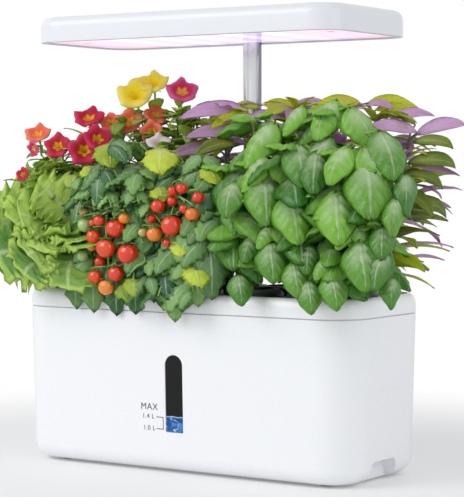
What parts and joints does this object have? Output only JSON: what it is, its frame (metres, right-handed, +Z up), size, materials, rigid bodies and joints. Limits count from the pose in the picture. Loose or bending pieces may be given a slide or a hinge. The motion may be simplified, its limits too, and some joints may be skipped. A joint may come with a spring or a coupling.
{
  "type": "indoor garden with grow light",
  "caption": "Countertop water garden: moulded tank with level window and pump, planting deck with lift-out baskets of plants, and a lit panel on a sliding pole.",
  "frame": {"origin": "on the floor, under the middle of the tank", "axes": "+Z up, +X to the right along the long side, -Y out of the front with the level window"},
  "size_m": [0.397, 0.172, 0.367],
  "materials": {
    "white_plastic": "smooth white moulding with a soft gloss",
    "lamp_plastic": "smooth white moulding with a soft gloss",
    "window_plastic": "dark tinted window, polished",
    "seal_rubber": "dark grey rubber, matt",
    "tube_rubber": "pale flexible tube, satin",
    "dark_plastic": "dark grey moulding, fine matt grain",
    "rotor_plastic": "grey moulding over a magnet",
    "grey_plastic": "light grey moulding, satin",
    "circuit_board": "white lacquered circuit board",
    "pole_metal": "polished bright metal tube",
    "panel_plastic": "glossy lit panel, white with pink and lavender",
    "screw_steel": "plain steel screw",
    "basket_plastic": "dark grey moulding with a soft sheen",
    "sponge_foam": "brown open foam, damp",
    "lettuce_plant": "bright green ruffled leaves",
    "tomato_plant": "dark green toothed leaves and red fruits",
    "basil_plant": "glossy mid green leaves",
    "blossom_plant": "green leaves with red, pink, peach and yellow flowers",
    "purple_plant": "purple and yellow green leaves"
  },
  "bodies": {
    "tank": {"tank_shell": "white_plastic", "level_window": "window_plastic", "window_gasket": "seal_rubber", "foot_front_left": "seal_rubber", "foot_front_right": "seal_rubber", "foot_rear_left": "seal_rubber", "foot_rear_right": "seal_rubber", "pump_pad": "seal_rubber", "pump_body": "dark_plastic", "pump_cover": "dark_plastic", "outlet_tube": "tube_rubber"},
    "deck": {"deck": "white_plastic", "pole_sleeve": "grey_plastic", "pole_collar": "grey_plastic", "friction_bush": "seal_rubber", "control_board": "circuit_board", "board_cover": "white_plastic", "power_inlet": "dark_plastic"},
    "lamp": {"pole": "pole_metal", "lamp_housing": "lamp_plastic", "lamp_frame": "lamp_plastic", "lamp_panel": "panel_plastic", "led_board": "circuit_board", "lamp_clamp": "dark_plastic", "panel_screw_left": "screw_steel", "panel_screw_right": "screw_steel"},
    "fill_flap": {"fill_flap": "white_plastic"},
    "button_light": {"button_light": "grey_plastic"},
    "button_pump": {"button_pump": "grey_plastic"},
    "pump_rotor": {"pump_rotor": "rotor_plastic"},
    "pod_1": {"basket_1": "basket_plastic", "sponge_1": "sponge_foam", "plant_1": "lettuce_plant"},
    "pod_2": {"basket_2": "basket_plastic", "sponge_2": "sponge_foam", "plant_2": "tomato_plant"},
    "pod_3": {"basket_3": "basket_plastic", "sponge_3": "sponge_foam", "plant_3": "tomato_plant"},
    "pod_4": {"basket_4": "basket_plastic", "sponge_4": "sponge_foam", "plant_4": "basil_plant"},
    "pod_5": {"basket_5": "basket_plastic", "sponge_5": "sponge_foam", "plant_5": "basil_plant"},
    "pod_6": {"basket_6": "basket_plastic", "sponge_6": "sponge_foam", "plant_6": "blossom_plant"},
    "pod_7": {"basket_7": "basket_plastic", "sponge_7": "sponge_foam", "plant_7": "blossom_plant"},
    "pod_8": {"basket_8": "basket_plastic", "sponge_8": "sponge_foam", "plant_8": "purple_plant"},
    "pod_9": {"basket_9": "basket_plastic", "sponge_9": "sponge_foam", "plant_9": "purple_plant"},
    "pod_10": {"basket_10": "basket_plastic", "sponge_10": "sponge_foam", "plant_10": "purple_plant"}
  },
  "joints": [
    {"name": "deck_lift", "type": "slide", "parent": "tank", "child": "deck", "axis": [0, 0, 1], "range_m": [0, 0.12]},
    {"name": "lamp_height", "type": "slide", "parent": "deck", "child": "lamp", "axis": [0, 0, 1], "range_m": [-0.085, 0], "deforming": ["plant_1", "plant_2", "plant_3", "plant_4", "plant_5", "plant_6", "plant_7", "plant_8", "plant_9", "plant_10"]},
    {"name": "fill_flap_hinge", "type": "hinge", "parent": "deck", "child": "fill_flap", "pos_m": [-0.0855, 0.0562, 0.1431], "axis": [-1, 0, 0], "range_deg": [0, 100]},
    {"name": "button_light_press", "type": "slide", "parent": "deck", "child": "button_light", "axis": [0, 0, 1], "range_m": [-0.0008, 0], "stiffness_N_per_m": 800, "springref_m": 0.0006},
    {"name": "button_pump_press", "type": "slide", "parent": "deck", "child": "button_pump", "axis": [0, 0, 1], "range_m": [-0.0008, 0], "stiffness_N_per_m": 800, "springref_m": 0.0006},
    {"name": "pump_spin", "type": "hinge", "parent": "tank", "child": "pump_rotor", "pos_m": [0.0855, -0.01, 0.021], "axis": [0, 1, 0], "continuous": true},
    {"name": "pod_1_lift", "type": "slide", "parent": "deck", "child": "pod_1", "axis": [0, 0, 1], "range_m": [0, 0.045]},
    {"name": "pod_2_lift", "type": "slide", "parent": "deck", "child": "pod_2", "axis": [0, 0, 1], "range_m": [0, 0.045]},
    {"name": "pod_3_lift", "type": "slide", "parent": "deck", "child": "pod_3", "axis": [0, 0, 1], "range_m": [0, 0.045]},
    {"name": "pod_4_lift", "type": "slide", "parent": "deck", "child": "pod_4", "axis": [0, 0, 1], "range_m": [0, 0.045]},
    {"name": "pod_5_lift", "type": "slide", "parent": "deck", "child": "pod_5", "axis": [0, 0, 1], "range_m": [0, 0.045]},
    {"name": "pod_6_lift", "type": "slide", "parent": "deck", "child": "pod_6", "axis": [0, 0, 1], "range_m": [0, 0.02]},
    {"name": "pod_7_lift", "type": "slide", "parent": "deck", "child": "pod_7", "axis": [0, 0, 1], "range_m": [0, 0.02]},
    {"name": "pod_8_lift", "type": "slide", "parent": "deck", "child": "pod_8", "axis": [0, 0, 1], "range_m": [0, 0.045]},
    {"name": "pod_9_lift", "type": "slide", "parent": "deck", "child": "pod_9", "axis": [0, 0, 1], "range_m": [0, 0.045]},
    {"name": "pod_10_lift", "type": "slide", "parent": "deck", "child": "pod_10", "axis": [0, 0, 1], "range_m": [0, 0.045]}
  ]
}
